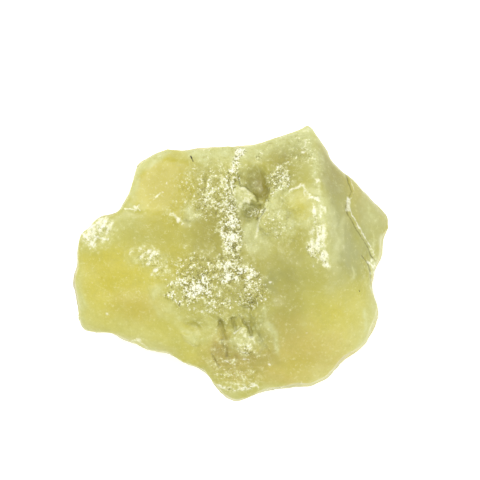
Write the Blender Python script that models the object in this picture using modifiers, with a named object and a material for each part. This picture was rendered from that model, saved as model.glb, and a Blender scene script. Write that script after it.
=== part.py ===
"""A lemon jade specimen: one rough, broken piece of translucent yellow-green stone.

The stone is made the way it came about, by breaking. Each of its lumps is a block that flat
breaks have cut down, and the lumps run together in valleys and ledges. They are trimmed to
the outline that the stone has from above, chipped underneath, and struck with spoon-shaped
hollows. The whole is then melted into one skin, roughened, thinned to a few thousand faces
and sawn flat where it rests.

Run it in Blender 4.5: blender --background --python part.py
"""

import math

import bmesh
import bpy
from mathutils import Matrix, Vector

# The driving dimensions, in metres. The drawing below is in millimetres, and the finished
# stone is stretched by a hair so that it fills exactly this box.
WIDTH = 0.0480  # left to right, along X
DEPTH = 0.0427  # front to back, along Y
HEIGHT = 0.0255  # from the face it rests on to the top of the ridge
MM = 0.001

# The outline from above, anticlockwise from the tip on the right. The third number is the
# height of the stone's widest line at that point.
OUTLINE = [
    (24.2, 5.6, 13.5), (23.8, 7.4, 14.0), (21.3, 10.6, 15.0), (19.0, 12.8, 15.5),
    (17.2, 14.3, 15.8), (15.8, 15.7, 16.2), (13.8, 18.9, 16.6), (12.7, 21.2, 17.0),
    (11.9, 22.1, 17.2), (10.7, 21.1, 16.6), (8.6, 20.3, 16.0), (3.8, 18.6, 15.0),
    (0.8, 18.1, 14.6), (-0.4, 18.4, 14.6), (-2.9, 18.1, 14.4), (-8.2, 17.5, 14.2),
    (-9.9, 18.1, 14.0), (-11.5, 17.3, 13.8), (-13.5, 16.0, 13.8), (-14.7, 14.8, 14.0),
    (-15.3, 12.4, 14.2), (-15.9, 10.4, 14.2), (-17.1, 8.5, 14.0), (-18.5, 7.6, 13.8),
    (-20.8, 7.0, 13.4), (-21.9, 5.8, 13.0), (-23.3, 4.9, 12.8), (-23.8, 3.4, 12.6),
    (-24.0, 1.0, 12.4), (-23.8, -0.2, 12.2), (-24.2, -2.2, 12.0), (-23.8, -5.2, 11.6),
    (-23.7, -8.5, 11.4), (-23.4, -10.1, 11.4), (-22.1, -10.9, 11.6), (-18.4, -11.1, 12.0),
    (-17.0, -11.9, 12.2), (-15.1, -12.7, 12.2), (-13.5, -13.5, 12.4), (-9.9, -14.0, 12.6),
    (-7.5, -15.4, 12.2), (-4.3, -16.5, 11.6), (-3.1, -18.1, 11.0), (-1.0, -20.7, 10.0),
    (0.6, -21.6, 9.6), (2.4, -21.3, 9.6), (5.0, -20.1, 10.2), (8.2, -19.5, 11.0),
    (10.2, -18.9, 11.6), (12.4, -19.1, 11.8), (14.8, -18.0, 11.8), (16.0, -16.6, 12.2),
    (17.4, -14.9, 12.4), (20.0, -13.3, 12.2), (21.2, -12.1, 12.4), (21.8, -9.8, 12.8),
    (22.7, -8.3, 12.8), (22.8, -6.5, 12.6), (21.7, -3.7, 12.8), (22.2, -1.3, 13.0),
    (23.1, 1.6, 13.2), (23.1, 3.8, 13.2), (23.5, 4.7, 13.2),
]
# The side wall goes through copies of that outline, each at a share of the widest line's
# height and some millimetres above that, smaller by a factor, and softened a few times.
WALL_COPIES = [
    (0.0, -2.0, 0.60, 8),
    (0.45, 0.0, 0.85, 3),
    (1.0, 0.0, 1.0, 0),
    (1.0, 6.0, 0.98, 0),
    (1.0, 22.0, 0.83, 3),
]

# The lumps that make up the upper side. Each is bounded by flat breaks: a point on the
# break, and the bearing and the elevation, in degrees, that it faces.
LUMPS = {
    "left_slab": {
        "top": ((-10.0, 0.0, 18.3), (190, 82)),
        "fall to the front": ((-6.0, -9.0, 18.3), (236, 74)),
        "front": ((-14.0, -10.6, 17.2), (250, 46)),
        "left rim": ((-22.8, -2.0, 16.4), (182, 45)),
        "frosted corner": ((-20.8, 3.6, 16.6), (140, 55)),
        "back": ((-17.0, 8.0, 17.2), (112, 50)),
        "fall to the valley": ((-0.4, -3.0, 19.2), (24, 72)),
    },
    "crown": {
        "top": ((-3.0, 3.0, 20.3), (218, 79)),
        "back": ((-4.0, 7.6, 20.5), (118, 74)),
        "front": ((-3.0, -4.5, 19.8), (246, 66)),
        "upper fall to the valley": ((-1.2, 5.0, 20.3), (338, 70)),
        "lower fall to the valley": ((-0.6, 0.0, 20.0), (14, 74)),
    },
    "upper_left_lobe": {
        "top": ((-9.0, 12.0, 19.1), (140, 78)),
        "step down to the slab": ((-12.0, 8.0, 18.6), (261, 34)),
        "outer edge": ((-13.6, 14.6, 17.8), (138, 44)),
        "upper rim": ((-6.0, 16.4, 18.2), (93, 44)),
        "fall to the valley": ((-1.6, 12.0, 20.4), (338, 66)),
    },
    "ridge": {
        "left side": ((10.5, 8.0, 23.4), (176, 67)),
        "upper left face": ((8.5, 15.0, 20.9), (108, 57)),
        "upper right face": ((13.2, 16.5, 20.9), (36, 38)),
        "right face": ((13.8, 12.0, 24.9), (7, 41)),
        "top": ((13.2, 6.0, 24.9), (100, 80)),
        "shoulder": ((11.0, -2.0, 23.2), (252, 71)),
        "far shoulder": ((15.0, -3.0, 23.0), (312, 62)),
    },
    "outer_right_slab": {
        "top": ((19.2, 6.5, 20.2), (16, 50)),
        "crack": ((18.7, 6.5, 20.0), (201, 10)),
        "upper end": ((17.9, 12.6, 18.6), (58, 42)),
        "lower end": ((20.6, 2.6, 18.8), (325, 54)),
    },
    "front_lump": {
        "top": ((3.0, -12.0, 18.3), (268, 60)),
        "tip": ((0.8, -19.0, 13.8), (258, 28)),
        "left side": ((-2.8, -15.5, 15.8), (200, 40)),
        "back": ((3.0, -6.5, 19.4), (85, 70)),
        "right side": ((9.0, -15.0, 15.8), (305, 58)),
    },
}

BLOCK = 120  # the edge of the block that every lump is broken from

# The flat breaks low on the sides, which leave a smaller face to rest on.
SIDE_CHIPS = {
    "front left chip": ((-15.6, -8.4, 4.4), (240, -46)),
    "low front left chip": ((-9.0, -8.2, 1.4), (256, -58)),
    "front chip": ((2.6, -15.8, 3.6), (283, -47)),
    "front right chip": ((15.4, -11.2, 5.0), (312, -40)),
    "low front right chip": ((11.5, -8.0, 1.4), (300, -60)),
    "right chip": ((18.0, 1.0, 5.6), (354, -44)),
    "back right chip": ((13.6, 11.6, 6.2), (48, -38)),
    "back chip": ((-3.0, 13.2, 5.6), (99, -42)),
    "low back chip": ((2.0, 9.8, 1.3), (76, -58)),
    "back left chip": ((-14.0, 7.2, 5.0), (136, -40)),
    "left chip": ((-19.4, -2.5, 5.2), (181, -46)),
    "low left chip": ((-15.0, -1.0, 1.4), (192, -62)),
}

# Rounded swellings and flakes: centre, three radii, and the turn of the first in degrees.
SWELLINGS = {
    "dome": ((12.6, -7.6, 8.0), (12.4, 13.0, 13.8), 0),
    "knob": ((9.0, 7.2, 21.3), (5.2, 3.7, 1.5), 8),
    "upper_knob": ((11.0, 9.4, 22.9), (3.0, 2.4, 0.9), -10),
    "pale_flake": ((1.8, 10.4, 19.2), (2.7, 1.5, 0.8), -22),
    "cream_flake": ((2.2, -11.9, 18.0), (2.7, 2.1, 1.0), 10),
    "slanting_slab": ((6.0, -9.8, 18.6), (1.4, 4.4, 1.6), 35),
    "crumbs_in_the_valley": ((0.9, 2.4, 18.8), (1.5, 3.6, 1.1), -16),
    "crumbs_below_the_crown": ((1.0, -3.4, 18.6), (3.6, 1.8, 1.2), 20),
    "shell_by_the_edge": ((-6.4, -11.3, 16.8), (1.9, 2.6, 1.1), 30),
}

# Spoon-shaped hollows, in the same form.
HOLLOWS = {
    "dark_pit": ((3.6, 13.2, 21.9), (2.6, 3.6, 3.1), 14),
    "pocket": ((2.7, 7.9, 20.5), (2.6, 1.4, 1.4), 18),
    "groove": ((2.5, -8.7, 20.1), (0.9, 3.2, 1.4), 17),
    "upper_groove": ((3.1, -6.2, 20.2), (1.5, 1.0, 1.0), 30),
    "middle_groove": ((0.5, -9.4, 19.8), (1.0, 2.2, 1.2), -14),
    "left_groove": ((-1.3, -10.8, 19.1), (0.8, 3.0, 1.2), 12),
    "small_hollow": ((-6.1, -9.5, 18.3), (2.0, 1.0, 0.9), -12),
    "olive_hollow": ((6.2, -4.6, 33.6), (8.5, 9.5, 13.0), 12),
    "front_left_dish": ((-13.0, -17.6, 6.5), (8.0, 6.8, 4.5), 18),
    "front_right_dish": ((9.0, -23.2, 6.0), (7.0, 7.6, 4.2), -12),
    "back_dish": ((-5.0, 22.0, 7.5), (8.0, 7.0, 4.2), 6),
    "right_dish": ((26.2, -2.0, 6.5), (7.2, 8.0, 4.2), 0),
}

GRAIN = 0.40  # the size of the cells in which the breaks are melted together
ROUGHNESS = {"waves": (8.0, 1.0), "ripples": (2.6, 0.22)}  # how long, and how deep
FACES_KEPT = 0.112  # the share of the melted faces that the finished stone keeps
NEAREST = 0.04  # points of the finished stone that lie nearer than this become one
SHARP_EDGE = math.radians(30)


def facing(bearing, elevation):
    """The direction that a break faces, from its two angles in degrees."""
    turn = Matrix.Rotation(math.radians(bearing), 3, "Z")
    tilt = Matrix.Rotation(-math.radians(elevation), 3, "Y")
    return turn @ tilt @ Vector((1, 0, 0))


def break_off(net, point, normal):
    """Takes away what lies beyond a flat break, and closes the stone there."""
    everything = net.verts[:] + net.edges[:] + net.faces[:]
    cut = bmesh.ops.bisect_plane(
        net, geom=everything, plane_co=point, plane_no=normal, clear_outer=True
    )
    rim = [item for item in cut["geom_cut"] if isinstance(item, bmesh.types.BMEdge)]
    bmesh.ops.edgenet_fill(net, edges=rim)


def as_object(name, net):
    mesh = bpy.data.meshes.new(name)
    bmesh.ops.recalc_face_normals(net, faces=net.faces)
    net.to_mesh(mesh)
    net.free()
    return bpy.data.objects.new(name, mesh)


def make_lump(name, breaks):
    net = bmesh.new()
    bmesh.ops.create_cube(net, size=BLOCK)
    for point, (bearing, elevation) in breaks.values():
        break_off(net, point, facing(bearing, elevation))
    return as_object(name, net)


def make_ball(name, centre, radii, turn):
    net = bmesh.new()
    bmesh.ops.create_icosphere(net, subdivisions=3, radius=1)
    bmesh.ops.scale(net, vec=radii, verts=net.verts)
    bmesh.ops.rotate(net, matrix=Matrix.Rotation(math.radians(turn), 3, "Z"), verts=net.verts)
    bmesh.ops.translate(net, vec=centre, verts=net.verts)
    return as_object(name, net)


def softened(outline, times):
    """The outline with its corners drawn in towards the middle of their neighbours."""
    points = [Vector(point) for point in outline]
    for _ in range(times):
        threes = zip(points[-1:] + points[:-1], points, points[1:] + points[:1])
        points = [(before + 2 * point + after) / 4 for before, point, after in threes]
    return points


def make_walls():
    """The block inside the outline, widest at its waist."""
    net = bmesh.new()
    loops = []
    for share, above, scale, times in WALL_COPIES:
        ring = [
            net.verts.new((point.x * scale, point.y * scale, point.z * share + above))
            for point in softened(OUTLINE, times)
        ]
        loops.append([net.edges.new(pair) for pair in zip(ring, ring[1:] + ring[:1])])
    for lower, upper in zip(loops, loops[1:]):
        bmesh.ops.bridge_loops(net, edges=lower + upper)
    for loop in (loops[0], loops[-1]):
        bmesh.ops.edgenet_fill(net, edges=loop)
    bmesh.ops.triangulate(net, faces=net.faces)
    return as_object("walls", net)


def combine(stone, other, operation):
    modifier = stone.modifiers.new(other.name, "BOOLEAN")
    modifier.operation = operation
    modifier.object = other


def join_breaks():
    """The broken stone with a Boolean for every lump and hollow, and all these helpers."""
    lumps = [make_lump(name, breaks) for name, breaks in LUMPS.items()]
    lumps += [make_ball(name, *ball) for name, ball in SWELLINGS.items()]
    limits = [make_walls(), make_lump("side_chips", SIDE_CHIPS)]
    hollows = [make_ball(name, *ball) for name, ball in HOLLOWS.items()]
    stone = lumps.pop(0)
    for operation, others in (("UNION", lumps), ("INTERSECT", limits), ("DIFFERENCE", hollows)):
        for other in others:
            combine(stone, other, operation)
    return stone, [stone, *lumps, *limits, *hollows]


def roughen(stone):
    """Melts the breaks into one even skin, gives it waves and ripples, and thins it."""
    melt = stone.modifiers.new("melt", "REMESH")
    melt.mode = "VOXEL"
    melt.voxel_size = GRAIN
    for name, (length, depth) in ROUGHNESS.items():
        texture = bpy.data.textures.new(name, "CLOUDS")
        texture.noise_scale = length
        displace = stone.modifiers.new(name, "DISPLACE")
        displace.texture = texture
        displace.strength = depth
    stone.modifiers.new("thin", "DECIMATE").ratio = FACES_KEPT


def saw_and_size(stone):
    """Saws a copy of the stone flat where it rests, and brings it to its real size."""
    graph = bpy.context.evaluated_depsgraph_get()
    mesh = bpy.data.meshes.new_from_object(stone.evaluated_get(graph))
    net = bmesh.new()
    net.from_mesh(mesh)
    break_off(net, (0, 0, 0), (0, 0, -1))
    bmesh.ops.remove_doubles(net, verts=net.verts, dist=NEAREST)
    low = [min(vert.co[axis] for vert in net.verts) for axis in range(3)]
    high = [max(vert.co[axis] for vert in net.verts) for axis in range(3)]
    foot = Vector(((low[0] + high[0]) / 2, (low[1] + high[1]) / 2, low[2]))
    stretch = [size / (b - a) for size, a, b in zip((WIDTH, DEPTH, HEIGHT), low, high)]
    bmesh.ops.translate(net, vec=-foot, verts=net.verts)
    bmesh.ops.scale(net, vec=stretch, verts=net.verts)
    bmesh.ops.triangulate(net, faces=net.faces)
    bpy.data.meshes.remove(mesh)
    return as_object("lemon_jade_stone", net)


def jade():
    """Waxy yellow-green stone."""
    material = bpy.data.materials.new("lemon_jade")
    material.use_nodes = True
    surface = material.node_tree.nodes["Principled BSDF"]
    surface.inputs["Base Color"].default_value = (0.66, 0.62, 0.20, 1)
    surface.inputs["Roughness"].default_value = 0.38
    surface.inputs["Metallic"].default_value = 0
    return material


def put_in_collection(name, objects):
    collection = bpy.data.collections.new(name)
    bpy.context.scene.collection.children.link(collection)
    for obj in objects:
        collection.objects.link(obj)


def main():
    for obj in list(bpy.data.objects):
        bpy.data.objects.remove(obj)
    broken, helpers = join_breaks()
    roughen(broken)
    drawing = bpy.data.objects.new("drawing_in_millimetres", None)
    put_in_collection("breaks", [drawing, *helpers])
    specimen = saw_and_size(broken)
    specimen.data.materials.append(jade())
    specimen.data.shade_smooth()
    specimen.data.set_sharp_from_angle(angle=SHARP_EDGE)
    put_in_collection("lemon_jade_specimen", [specimen])
    for helper in helpers:
        helper.parent = drawing
        helper.hide_render = True
        helper.display_type = "WIRE"
    drawing.scale = (MM, MM, MM)


main()
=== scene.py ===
# %% [markdown]
# # A lemon jade specimen
# Lemon jade is a trade name for a yellow-green serpentine. A hand-sized rough piece looks waxy, with
# sugary white patches where fine grains were crushed, and pale edges where light gets into the stone.
# A frame holds the stone's solid with flat breaks. This lesson copies that solid, carves the small
# relief into the copy, keeps a map of each kind of surface on its points, and paints by those maps.
# The outline is widest at about half the height, which is called the waist here.

# %% The frame
import math

import bmesh
import bpy
import numpy as np
from mathutils import Matrix, Vector, noise
from mathutils.bvhtree import BVHTree


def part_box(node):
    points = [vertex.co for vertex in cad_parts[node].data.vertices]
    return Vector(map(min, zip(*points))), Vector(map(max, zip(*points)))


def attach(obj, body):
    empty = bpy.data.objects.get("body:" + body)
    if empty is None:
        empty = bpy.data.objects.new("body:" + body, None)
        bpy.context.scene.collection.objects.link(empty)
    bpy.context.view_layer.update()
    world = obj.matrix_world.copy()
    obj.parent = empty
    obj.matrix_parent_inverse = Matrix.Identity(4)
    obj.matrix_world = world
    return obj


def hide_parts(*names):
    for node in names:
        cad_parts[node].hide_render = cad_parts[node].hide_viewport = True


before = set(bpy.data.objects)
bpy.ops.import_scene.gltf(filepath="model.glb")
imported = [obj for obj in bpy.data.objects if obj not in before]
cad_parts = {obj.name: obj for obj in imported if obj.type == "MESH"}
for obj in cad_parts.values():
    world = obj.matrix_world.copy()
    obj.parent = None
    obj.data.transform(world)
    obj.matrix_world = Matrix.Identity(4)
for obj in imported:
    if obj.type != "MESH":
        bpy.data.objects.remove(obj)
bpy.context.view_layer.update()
NODE = "lemon_jade_stone"
low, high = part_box(NODE)
MM = 0.001
WAIST_SHARE = 0.49
WAIST = WAIST_SHARE * (high.z - low.z) / MM
print("solid, mm:", [round(side / MM, 1) for side in high - low], "waist at", round(WAIST, 1))

# %% [markdown]
# ## A fine net to carve
# The solid has large flat facets. A real break has relief down to the size of its grains, so the copy
# is welded, counted in millimetres, and given an even net by a voxel remesh. The net is closed, and
# its points are near enough together to carry steps, pits and grains. Subdividing the facets would keep
# their long thin triangles, and a sculpted copy could not be made again from a changed solid.

# %% The copy
NET = 0.20
WELD = 0.00001

net = bmesh.new()
net.from_mesh(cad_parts[NODE].data)
bmesh.ops.remove_doubles(net, verts=net.verts, dist=WELD)
bmesh.ops.scale(net, vec=(1 / MM, 1 / MM, 1 / MM), verts=net.verts)
rough_mesh = bpy.data.meshes.new("jade_stone")
net.to_mesh(rough_mesh)
net.free()

stone = bpy.data.objects.new("jade_stone", rough_mesh)
bpy.context.scene.collection.objects.link(stone)
even = stone.modifiers.new("even net", "REMESH")
even.mode = "VOXEL"
even.voxel_size = NET


def apply_modifiers(piece):
    """Makes the piece's mesh the one that its modifiers give, and removes them."""
    graph = bpy.context.evaluated_depsgraph_get()
    finished = bpy.data.meshes.new_from_object(piece.evaluated_get(graph))
    unfinished = piece.data
    piece.modifiers.clear()
    piece.data = finished
    bpy.data.meshes.remove(unfinished)


apply_modifiers(stone)
print("net of", len(stone.data.vertices), "points")

# %% [markdown]
# ## Points as arrays
# Every later step asks where the points are, which way the surface faces and what lies round about.
# A loop over points would take minutes, so they are read into arrays once. `averaged` lets a value
# spread to its neighbours, and on the places themselves it blunts as sandpaper does. `ease` turns a
# hard limit into a soft one.

# %% Reading and smoothing
count = len(stone.data.vertices)
place = np.zeros(count * 3)
stone.data.vertices.foreach_get("co", place)
place = place.reshape(-1, 3)
ends = np.zeros(len(stone.data.edges) * 2, int)
stone.data.edges.foreach_get("vertices", ends)
ends = ends.reshape(-1, 2)
near = np.bincount(ends.ravel(), minlength=count)


def averaged(values, times):
    """The values after each point has taken the middle way to its neighbours that many times."""
    columns = values.reshape(count, -1).copy()
    for _ in range(times):
        for column in columns.T:
            total = np.bincount(ends[:, 0], column[ends[:, 1]], count)
            total += np.bincount(ends[:, 1], column[ends[:, 0]], count)
            column += 0.5 * (total / near - column)
    return columns.reshape(values.shape)


def ease(start, end, values):
    """0 before start, 1 after end, and a soft step between them."""
    part = np.clip((values - start) / (end - start), 0, 1)
    return part * part * (3 - 2 * part)


def percent(shares):
    """How much of the stone's points a map covers, for printing."""
    return f"{100 * float(shares.mean()):.1f} %"


def facing():
    """The outward direction at each point."""
    stone.data.vertices.foreach_set("co", place.ravel())
    stone.data.update()
    outward = np.zeros(count * 3, np.float32)
    stone.data.vertex_normals.foreach_get("vector", outward)
    return outward.reshape(-1, 3).astype(float)


# %% [markdown]
# ## Blunting the facets
# A cut facet has straight rims, and a waxy stone has none on its smooth breaks. Smoothing alone would
# also melt the ridge, so each point stays nearly where it was if smoothing would move it far, which
# happens only at the real edges.

# %% Blunting
BLUNTING = 40
LIGHT_BLUNTING = 4
FACET = 0.05
RIDGE = 0.22
MOST_KEPT = 0.8

rounded = averaged(place, BLUNTING)
moved = np.linalg.norm(place - rounded, axis=1)
kept = MOST_KEPT * averaged(ease(FACET, RIDGE, moved), 3)
place = rounded + (averaged(place, LIGHT_BLUNTING) - rounded) * kept[:, None]
print("edges kept on", percent(kept > 0.5))

# %% [markdown]
# ## Rounding the sharpest corners
# Where the upper side turns down into the walls most sharply, the stone is thin and wears first. A
# bevel would leave new straight rims there, so those few corners are blunted much more than the rest,
# and pushed out again by what the blunting took.

# %% Sharpest corners
SHOULDER_BLUNTING = 160
SHOULDER_LOSS = 0.30
STEEPEST_OVERHANG = -0.2

outward = facing()
blunt = averaged(place, SHOULDER_BLUNTING)
stands_out = np.einsum("ij,ij->i", place - blunt, outward)
sideways = np.linalg.norm(outward[:, :2], axis=1)
turning = ease(0.3, 0.6, stands_out) * ease(0.2, 0.6, sideways)
shoulder = averaged(turning * (outward[:, 2] > STEEPEST_OVERHANG), 12)
place += shoulder[:, None] * (blunt - place)
place[:, :2] += (shoulder * SHOULDER_LOSS)[:, None] * outward[:, :2]
print("corners blunted on", percent(shoulder > 0.1))

# %% [markdown]
# ## Clouds
# Nothing on a stone is even, so relief and colour both start from clouds: soft random noise with lumps
# of a chosen size. The places can also be swayed, pushed about by noise, so that a shape drawn on them
# bends. Each cloud has a number of its own, and the noise that sways reads Blender's own seed, which is
# set first, so that every run gives the same stone.

# %% Clouds
SEED = 5
CLOUDS_APART = np.array((7.3, 3.1, 5.7))
SWAYS_APART = 9.1
noise.seed_set(SEED)


def clouds(size, seed, octaves=3, turn=0, stretch=1):
    """Noise of about -1 to 1 with lumps of that size, drawn out by stretch along a bearing."""
    along, across = math.cos(math.radians(turn)), math.sin(math.radians(turn))
    spun = place @ np.array(((along, -across, 0), (across, along, 0), (0, 0, 1)))
    looked_up = spun / (size * stretch, size, size) + CLOUDS_APART * seed
    return np.array([noise.fractal(point, 1.0, 2.0, octaves) for point in looked_up.tolist()])


def swayed(size, push, seed):
    """The places, pushed about by noise of that size, so that what is drawn on them bends."""
    looked_up = place / size + SWAYS_APART * seed
    return place + push * np.array([noise.turbulence_vector(p, 3, False) for p in looked_up.tolist()])


billows = clouds(5.0, 1)
ragged = clouds(1.5, 2)
fine = clouds(0.7, 8, 2)
for_patches = swayed(3.0, 0.9, 1)
for_lines = swayed(1.4, 0.13, 2)
print("lumps between", round(float(billows.min()), 2), "and", round(float(billows.max()), 2))

# %% [markdown]
# ## Patches
# Most marks on the stone are patches: a bruise, a heap of grains, a stain. A painted texture wrapped
# round the stone would stretch on its steep sides. Here a patch is a ball round a place on the
# surface, given by its x and y in mm and dropped onto the stone from above. The ball may be longer
# one way, and turned, and its rim is tattered by the clouds.

# %% Patches
SKY = 60
above = BVHTree.FromObject(stone, bpy.context.evaluated_depsgraph_get())


def drop(x, y):
    """The place where a plumb line at x, y meets the stone, or the waist's height beside it."""
    hit = above.ray_cast(Vector((x, y, SKY)), Vector((0, 0, -1)))[0]
    return np.array(hit) if hit else np.array((x, y, WAIST))


def ball(x, y, across, down=None, turn=0, soft=0.5, tatter=0.2):
    """1 in the middle of a patch and 0 outside it, with a rim that is soft and tattered."""
    down = down or across
    angle = math.radians(turn)
    offset = for_patches - drop(x, y)
    first = offset[:, 0] * math.cos(angle) + offset[:, 1] * math.sin(angle)
    second = offset[:, 1] * math.cos(angle) - offset[:, 0] * math.sin(angle)
    third = offset[:, 2] / max(across, down)
    reach = np.sqrt((first / across) ** 2 + (second / down) ** 2 + third ** 2)
    return ease(1 + soft, 1 - soft, reach + tatter * (ragged + 0.5 * fine))


def together(*maps):
    """Overlapping patches as one, which never goes past 1."""
    rest = np.ones(count)
    for one in maps:
        rest *= 1 - one
    return 1 - rest


print("a plumb line in the middle meets the stone at", round(float(drop(0, 0)[2]), 1), "mm")

# %% [markdown]
# ## Lines and outlines
# Rims, cracks and grooves run along lines, and flakes have outlines. Both are drawn on the plan, as a
# mason marks a stone from above, with few corners, because the swayed places bend what lies between.


# %% Lines and outlines
def away(points, places):
    """How far each of the places is, seen from above, from a line through the points."""
    corners = np.array(points, float)
    gap = np.linalg.norm(places[:, :2] - corners[0], axis=1)
    for start, end in zip(corners, corners[1:]):
        run = end - start
        offset = places[:, :2] - start
        part = np.clip(offset @ run / (run @ run), 0, 1)
        gap = np.minimum(gap, np.linalg.norm(offset - part[:, None] * run, axis=1))
    return gap


def band(points, width, places=for_patches):
    """1 on a line through the points and 0 beyond its half width."""
    return ease(width * 1.2, 0.2 * width, away(points, places) + 0.3 * width * ragged)


def inside(outline):
    """How far each point is inside an outline on the plan, in mm: negative outside it."""
    corners = np.array(outline, float)
    turned_in = np.zeros(count, bool)
    gap = np.full(count, 1e9)
    for start, end in zip(corners, np.roll(corners, -1, axis=0)):
        run = end - start
        offset = for_lines[:, :2] - start
        part = np.clip(offset @ run / (run @ run), 0, 1)
        gap = np.minimum(gap, np.linalg.norm(offset - part[:, None] * run, axis=1))
        if start[1] != end[1]:
            bottom, top = sorted((start[1], end[1]))
            level = (for_lines[:, 1] >= bottom) & (for_lines[:, 1] < top)
            cross = start[0] + (for_lines[:, 1] - start[1]) / run[1] * run[0]
            turned_in ^= level & (for_lines[:, 0] < cross)
    return np.where(turned_in, gap, -gap)


# %% [markdown]
# ## Worn ground and the upper side
# Where the front grooves lie, the solid's flat breaks still meet in a step. It is worn down first, so
# that the grooves cut into even ground. Then `upper` marks the side whose marks are placed one by one:
# what faces upwards and lies above the walls. The walls and the underside are left to the clouds.

# %% Worn ground and the upper side
WORN_BLUNTING = 30
MOST_WORN = 0.85
WALL_TOP = WAIST - 6
FIELD = WAIST - 2

dip = together(0.45 * ball(1.6, -9.0, 3.8, 3.6), ball(3.1, -6.2, 2.2, 1.8))
worn = dip * ease(WAIST, WAIST + 3, place[:, 2])
place += MOST_WORN * worn[:, None] * (averaged(place, WORN_BLUNTING) - place)
outward = facing()
upper = ease(0.0, 0.35, outward[:, 2]) * ease(WALL_TOP, FIELD, place[:, 2])
print("upper side:", percent(upper))

# %% [markdown]
# ## Shells
# Serpentine breaks in shells, like thick glass: small bowls that meet in sharp curved rims. Each could
# be cut by a ball, but there are hundreds, and cell noise gives the same thing at once: the distance
# to a cell's own middle makes the bowl, and where two cells meet the bowls leave a rim.

# %% Bowls that meet in rims
SHELLS_APART = 11.7


def shells(size, seed):
    """0 at the middle of each bowl and about 1 on the rims between them."""
    bent = place + 0.9 * np.stack((billows, ragged, -billows), axis=1)
    looked_up = bent / size + SHELLS_APART * seed
    return np.array([noise.voronoi(point)[0][0] for point in looked_up.tolist()])


large_shells = shells(6.5, 1)
small_shells = shells(2.3, 2)
print("bowls up to", round(float(large_shells.max()), 2), "of their own size")

# %% [markdown]
# ## Lobed and rough ground
# The walls and the underside are covered with bowls. On top only a few fields are lobed, and the
# middle third is rough and craggy, while the slabs at the sides are nearly smooth and look polished.
# Both kinds of ground are lists of patches, so that a field is moved by changing its place. `rough` is
# kept for the finish as well, because rough ground is also paler and more mottled.

# %% Lobed and rough ground
LOBED = {
    "lobes": ball(7.6, 7.2, 4.2, 5.2, turn=20),
    "upper scatter": ball(-3.5, 11.5, 5.0, 4.6) * 0.8,
    "under the grooves": ball(1.5, -15.0, 5.5, 3.0) * 0.7,
    "right edge": ball(21.0, -1.0, 2.0, 4.0) * 0.9,
    "low left edge": band([(-15.5, -11.5), (-9.0, -14.0), (-4.0, -16.5)], 1.6) * 0.8,
    "top edge": band([(-14.0, 17.0), (-4.0, 18.0), (6.0, 18.6)], 1.6) * 0.7,
}
ROUGH = {
    "upper middle": ball(-1.0, 11.5, 6.5, 5.5),
    "column": ball(0.8, 4.0, 3.2, 8.0),
    "lower middle": ball(-2.2, -3.0, 7.6, 5.0, turn=-10),
    "grooves": ball(0.4, -9.8, 5.4, 5.2),
    "foot": ball(0.8, -16.0, 4.8, 3.2) * 0.9,
    "beside the hollow": ball(7.4, 12.2, 3.0, 3.2),
    "under the peak": ball(9.4, 17.6, 3.6, 3.0) * 0.9,
    "lobes": ball(7.4, 6.6, 3.8, 4.0) * 0.85,
    "bruise": ball(-12.2, 0.6, 3.4, 1.8, turn=-35) * 0.6,
    "corner": ball(-20.4, 4.6, 2.6, 2.0, turn=30) * 0.8,
    "crest": ball(13.3, 3.8, 1.4, 4.4) * 0.7,
    "upper crest": ball(12.8, 13.6, 1.2, 4.0) * 0.6,
    "right edge": ball(21.4, -0.8, 1.4, 3.2) * 0.7,
    "slab's back": ball(-7.6, 7.2, 2.6, 1.6) * 0.6,
    "pocket": ball(3.0, 7.7, 2.0, 1.4) * 0.9,
}
lobed = together(*LOBED.values())
rough = together(*ROUGH.values()) * upper
print("lobed on", percent(lobed), "and rough on", percent(rough))

# %% [markdown]
# ## First heights
# `height` holds how far each point will be pushed out, in mm. It starts with the bowls, low swells,
# and on rough ground crags, which are a cloud folded over where it passes 0. Displacing the mesh by a
# texture would do the same, but then the later steps could not ask what the height is.

# %% First heights
SWELLS, RIPPLES = 0.06, 0.015
LARGE_BOWLS = 0.75
LOBE_BOWLS, WALL_BOWLS, FAINT_BOWLS = 0.18, 0.16, 0.012
HALF_UP = 0.3

crags = 0.5 - np.abs(clouds(2.4, 31, 4)) * 1.6
height = SWELLS * clouds(4.5, 6, 2) + RIPPLES * clouds(1.2, 5)
height += LARGE_BOWLS * (1 - upper) * (large_shells ** 2 - HALF_UP)
bowls = LOBE_BOWLS * lobed * upper + WALL_BOWLS * (1 - upper) + FAINT_BOWLS
height += bowls * (small_shells ** 2 - HALF_UP)
height += rough * (0.17 * crags + 0.10 * ragged + 0.04 * fine)
print("relief so far from", round(float(height.min()), 2), "to", round(float(height.max()), 2), "mm")

# %% [markdown]
# ## Sugary grains
# Where the stone was crushed it crumbled into white grains of 0.2 to 0.5 mm with dark gaps between
# them. Single grains as pieces would be thousands of loose specks, so they stay relief and colour.
# `sugar` says how thick they lie: a column in the middle, a broad patch below it with an open place in
# it, and thin scatterings. On the walls and underneath, the clouds place it.

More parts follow.
